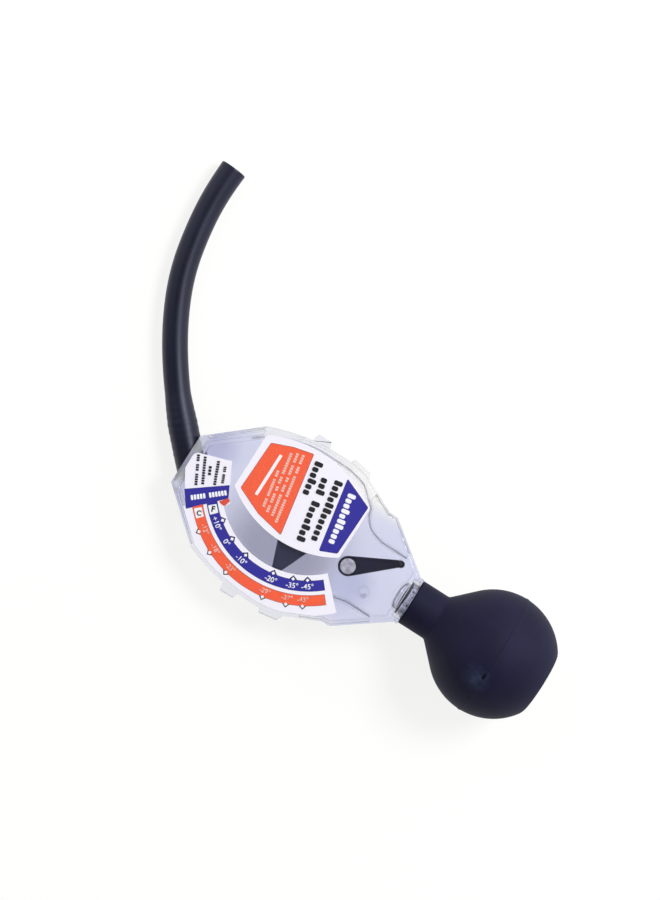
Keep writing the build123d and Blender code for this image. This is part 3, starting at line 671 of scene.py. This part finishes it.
def washer_section(turn):
    """Flat, with a lip at its edge that grows towards the label's side."""
    from_lip = (turn if turn < math.pi else turn - 2 * math.pi) - LIP_TURN
    lip = LIP_START + LIP_GROWTH * math.exp(-from_lip ** 2 / LIP_SPREAD)
    return [(WASHER_START, WASHER_BORE), (WASHER_START, COLLAR_BORE),
            (WASHER_START + WASHER_CHAMFER, WASHER_EDGE), (lip, WASHER_EDGE), (lip, LIP_EDGE),
            (WASHER_END, COLLAR_BORE), (WASHER_END, WASHER_BORE)]


def bead_section(turn):
    """Flat against the flange and lumpy on its free side."""
    lump = 0.10 * math.sin(5 * turn + 0.6) + 0.07 * math.sin(13 * turn)
    return [(BEAD_START, BEAD_BORE), (BEAD_START, BEAD_EDGE), (101.2, BEAD_EDGE), (101.72 + lump, 8.2),
            (101.88 + lump * 0.6, 7.8), (101.8 + lump, 7.4), (101.6, BEAD_BORE)]


ring("squeezed_washer", 96, washer_section, plain_plastic("washer_rubber", (0.004, 0.004, 0.008), 0.6),
     "neck_gasket")
ring("lumpy_glue_bead", 160, bead_section, glue, "neck_glue_bead")

# Printed stickers: white vinyl with flat inks, a thin dark keyline round each field of colour,
# and two curved scales with diamond ticks. Lines of words are printed as plain blocks.
STICKER_TOP = 7.7
INK_LAYER = 0.03
PIVOT = (PIVOT_ALONG * 1000, PIVOT_ACROSS * 1000)
CAP_HEIGHT = 0.7
CORNER = 0.5
KEYLINE = 0.14
KEYLINE_LAYER, FIELD_LAYER, TIP_LAYER, OVERPRINT_LAYER, TYPE_LAYER = 1, 2, 3, 4, 5
SCALE_START = -139.6
BLUE_RADII = (35.4, 39.3)
ORANGE_RADII = (41.0, 44.9)
BLUE_TICKS = 35.1
ORANGE_TICKS = 45.1
LEAN_COS = 0.9846
LEAN_SIN = 0.1747
FINE_TYPE = 1.1
TIP_TYPE = 1.15
LARGE_TYPE = 3.4
UPRIGHT = 90
UNIT_LEAN = 157


def ink(name, colour, speckle=0.12):
    """Screen-printed ink on vinyl: even, with a fine speckle in its tone and a soft uneven gloss."""
    paint, tree, finish = new_paint(name, {"Specular IOR Level": 0.3})
    speckled = tuple(channel * (1 - speckle) for channel in colour)
    tree.links.new(ramp(tree, grain(tree, 1500, 3), (0.3, speckled), (0.7, colour)),
                   finish.inputs["Base Color"])
    gloss = remap(tree, grain(tree, 120), 0, 1, 0.36, 0.52, smooth=False)
    tree.links.new(gloss, finish.inputs["Roughness"])
    return paint


def on_arc(radius, angle):
    """A point of the dial at a distance and an angle from the pointer's pin."""
    turn = math.radians(angle)
    return PIVOT[0] + radius * math.cos(turn), PIVOT[1] + radius * math.sin(turn)


def arc_band(inner, outer, start, end):
    """A curved band of the scale, from one angle to another."""
    steps = max(4, int(abs(end - start)))
    angles = [start + (end - start) * step / steps for step in range(steps + 1)]
    return [on_arc(inner, angle) for angle in angles] + [on_arc(outer, angle) for angle in reversed(angles)]


def softened(corners, radius):
    """The same outline with each corner cut back and rounded."""
    outline = []
    for before, here, after in zip(corners[-1:] + corners[:-1], corners, corners[1:] + corners[:1]):
        here, before, after = Vector(here), Vector(before), Vector(after)
        reach = min(radius, 0.45 * (before - here).length, 0.45 * (after - here).length)
        first = here + reach * (before - here).normalized()
        last = here + reach * (after - here).normalized()
        for step in range(5):
            share = step / 4
            outline.append(tuple(first * (1 - share) ** 2 + here * 2 * share * (1 - share)
                                 + last * share ** 2))
    return outline


def grown(corners, amount):
    """The same outline with every edge moved outwards by amount."""
    turn_sum = sum(a[0] * b[1] - b[0] * a[1] for a, b in zip(corners, corners[1:] + corners[:1]))
    way = 1 if turn_sum > 0 else -1
    outline = []
    for before, here, after in zip(corners[-1:] + corners[:-1], corners, corners[1:] + corners[:1]):
        here, before, after = Vector(here), Vector(before), Vector(after)
        first, last = (here - before).normalized(), (after - here).normalized()
        first_out, last_out = Vector((first.y, -first.x)) * way, Vector((last.y, -last.x)) * way
        outline.append(tuple(here + amount * (first_out + last_out) / (1 + first_out.dot(last_out))))
    return outline


def word_blocks(start, end, height, pattern):
    """A line of type as plain blocks, tall or short, from one end of its middle line to the other."""
    start, end = Vector(start), Vector(end)
    along = (end - start).normalized()
    up = Vector((-along.y, along.x))
    pitch = (end - start).length / len(pattern)
    blocks = []
    for place, mark in enumerate(pattern):
        if mark != " ":
            low = start + along * pitch * (place + 0.1) - up * height / 2
            wide = along * pitch * 0.78
            tall = up * height * (1 if mark == "T" else 0.72)
            blocks.append(softened([low, low + wide, low + wide + tall, low + tall], 0.22 * height))
    return blocks


def tick(radius, angle, half):
    """A diamond on the scale's edge."""
    middle = Vector(on_arc(radius, angle))
    inward = (Vector(PIVOT) - middle).normalized() * half
    side = Vector((inward.y, -inward.x))
    return [tuple(middle + step) for step in (inward, side, -inward, -side)]


def lay_ink(name, layer, paint, outlines, figures=()):
    """Prints outlines and figures, both in dial millimetres, as one thin layer of ink."""
    slab = bmesh.new()
    for outline in outlines:
        slab.faces.new([slab.verts.new((x, y, 0)) for x, y in outline])
    for words, height, radius, angle, lean in figures:
        bpy.ops.object.select_all(action="DESELECT")
        bpy.ops.object.text_add()
        figure = bpy.context.object
        figure.data.body = words
        figure.data.size = height / CAP_HEIGHT
        figure.data.offset = 0.02 * height if lean == UPRIGHT else 0.05 * height
        figure.data.align_x = "CENTER"
        figure.data.align_y = "CENTER"
        bpy.ops.object.convert(target="MESH")
        turned = Matrix.Rotation(math.radians(angle + lean), 4, "Z")
        figure.data.transform(Matrix.Translation((*on_arc(radius, angle), 0)) @ turned)
        slab.from_mesh(figure.data)
        bpy.ops.object.delete()
    bmesh.ops.triangulate(slab, faces=slab.faces)
    top = bmesh.ops.extrude_face_region(slab, geom=slab.faces[:])
    thickness = INK_LAYER * (layer + 0.5)
    bmesh.ops.translate(slab, vec=(0, 0, thickness),
                        verts=[item for item in top["geom"] if isinstance(item, bmesh.types.BMVert)])
    bmesh.ops.recalc_face_normals(slab, faces=slab.faces)
    print_mesh = bpy.data.meshes.new(name)
    slab.to_mesh(print_mesh)
    slab.free()
    print_mesh.transform(dial @ Matrix.Scale(0.001, 4)
                         @ Matrix.Translation((0, 0, STICKER_TOP - INK_LAYER / 2)))
    print_piece = stand(name, print_mesh)
    print_mesh.materials.append(paint)
    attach(print_piece, "housing")


white_vinyl = ink("white_vinyl", (0.92, 0.89, 0.96), 0.02)
for sticker in ("main_label", "scale_label", "tip_label"):
    finish_node(sticker, white_vinyl)

orange_panel = softened([(24.4, 22.7), (32.5, 25.9), (40.4, 27.8), (46.2, -4.9), (34.6, -2.6),
                         (23.8, 2.1)], CORNER)
blue_panel = softened([(56.5, 26.7), (68.8, 21.7), (68.3, 0.7), (61.9, -2.1)], CORNER)
tip_band = [(6.0, -9.9), (19.6, 0.4), (21.8, -3.9), (10.4, -15.8)]
tip_corner = softened([(19.4, -7.0), (21.8, -3.9), (23.1, -4.3), (22.3, -7.4)], 0.8)
blue_scale = arc_band(*BLUE_RADII, SCALE_START, -48.6)
orange_scale = arc_band(*ORANGE_RADII, SCALE_START, -49.2)
fahrenheit = ((" +10°", -127.2), ("0°", -114.1), ("-10°", -100.9), ("-20°", -80.2), ("-35°", -67.3),
              ("-45°", -58.3))
celsius = (("-12°", -126.0), ("-18°", -114.6), ("-23°", -102.2), ("-29°", -80.7), ("-37°", -68.8),
           ("-43°", -60.6))

lay_ink("scale_keylines", KEYLINE_LAYER, ink("keyline_ink", (0.10, 0.06, 0.07)),
        [grown(outline, KEYLINE) for outline in (orange_panel, orange_scale)]
        + [tick(ORANGE_TICKS, angle, 1.35) for words, angle in celsius])
navy = ink("navy_ink", (0.020, 0.016, 0.10))
lay_ink("blue_edges", KEYLINE_LAYER, navy,
        [grown(outline, KEYLINE) for outline in (blue_panel, tip_band, blue_scale)]
        + [tick(BLUE_TICKS, angle, 1.45) for words, angle in fahrenheit])
blue = ink("blue_ink", (0.036, 0.031, 0.335))
lay_ink("blue_fields", FIELD_LAYER, blue, [blue_panel, blue_scale])
orange = ink("orange_ink", (0.99, 0.130, 0.056))
lay_ink("orange_fields", FIELD_LAYER, orange, [orange_panel, orange_scale])
lay_ink("tip_field", TIP_LAYER, blue, [tip_band])
lay_ink("red_corner", FIELD_LAYER, ink("red_ink", (0.75, 0.09, 0.06)), [tip_corner])


def type_line(near, start_run, end_run):
    """Both ends of a line of the large label's type, at one distance from the hose end."""
    return [(near * LEAN_COS + run * LEAN_SIN, near * LEAN_SIN - run * LEAN_COS)
            for run in (start_run, end_run)]


white_ink = ink("white_ink", (0.93, 0.92, 0.93), 0.04)
fine_print = []
for near, start_run, end_run, pattern in (
    (41.2, -18.6, 9.4, "TTTT TTT TTTTTTTTT TTTTTTTTTT"),
    (38.9, -18.4, 7.6, "TTTT TTTT TT TTT TTTTTTTTT"),
    (36.6, -17.6, 7.0, "TTTTTTTTT TTT TT TTTT TTT"),
    (34.5, -9.5, 5.6, "TTT TTTTTTTT TTTT"),
):
    fine_print += word_blocks(*type_line(near, start_run, end_run), FINE_TYPE, pattern)
lay_ink("fine_print", OVERPRINT_LAYER, ink("fine_print_ink", (0.95, 0.62, 0.52), 0.25), fine_print,
        [(words, 1.8, 42.7, angle, UPRIGHT) for words, angle in celsius])
overprint = [softened([(29.5, 20.9), (30.7, 20.9), (30.7, 2.9), (29.5, 2.9)], 0.3)]
overprint += word_blocks((61.1, 23.0), (64.7, 2.4), 3.3, "TssTsTTsss")
overprint += word_blocks((20.3, -2.4), (9.6, -11.5), 2.0, "TTTTTT TTTTT")
overprint += [tick(BLUE_TICKS, angle, 0.72) for words, angle in fahrenheit]
overprint += [tick(ORANGE_TICKS, angle, 0.75) for words, angle in celsius]
overprint += [softened(arc_band(35.75, 39.0, -137.9, -132.5), CORNER),
              softened(arc_band(41.5, 44.5, -137.6, -132.5), CORNER)]
lay_ink("white_overprint", OVERPRINT_LAYER, white_ink, overprint,
        [(words, 2.0, 37.7, angle, UPRIGHT) for words, angle in fahrenheit])

black_type = []
for near, start_run, end_run, pattern in (
    (47.9, -18.6, -4.6, "TssTss"),
    (52.5, -13.7, 12.6, "ssT TsssTsT"),
    (57.6, -14.7, 10.4, "TsTsTTsssss"),
):
    black_type += word_blocks(*type_line(near, start_run, end_run), LARGE_TYPE, pattern)
for start, end, pattern in (
    ((3.3, 4.2), (8.8, -6.4), "TTT TTT TTTTT"),
    ((5.9, 4.9), (10.8, -4.8), "TTTTTTTTTTT"),
    ((9.5, 2.9), (11.1, -0.5), "TTT"),
    ((11.1, 6.2), (14.8, -2.6), "TTTTTTTTTT"),
    ((14.4, 5.7), (17.0, -0.4), "TTT TTTTT"),
):
    black_type += word_blocks(start, end, TIP_TYPE, pattern)
lay_ink("black_type", TYPE_LAYER, ink("black_ink", (0.018, 0.018, 0.022)), black_type,
        [("F", 2.2, 37.4, -135.2, UNIT_LEAN), ("C", 1.9, 43.0, -134.7, UNIT_LEAN)])
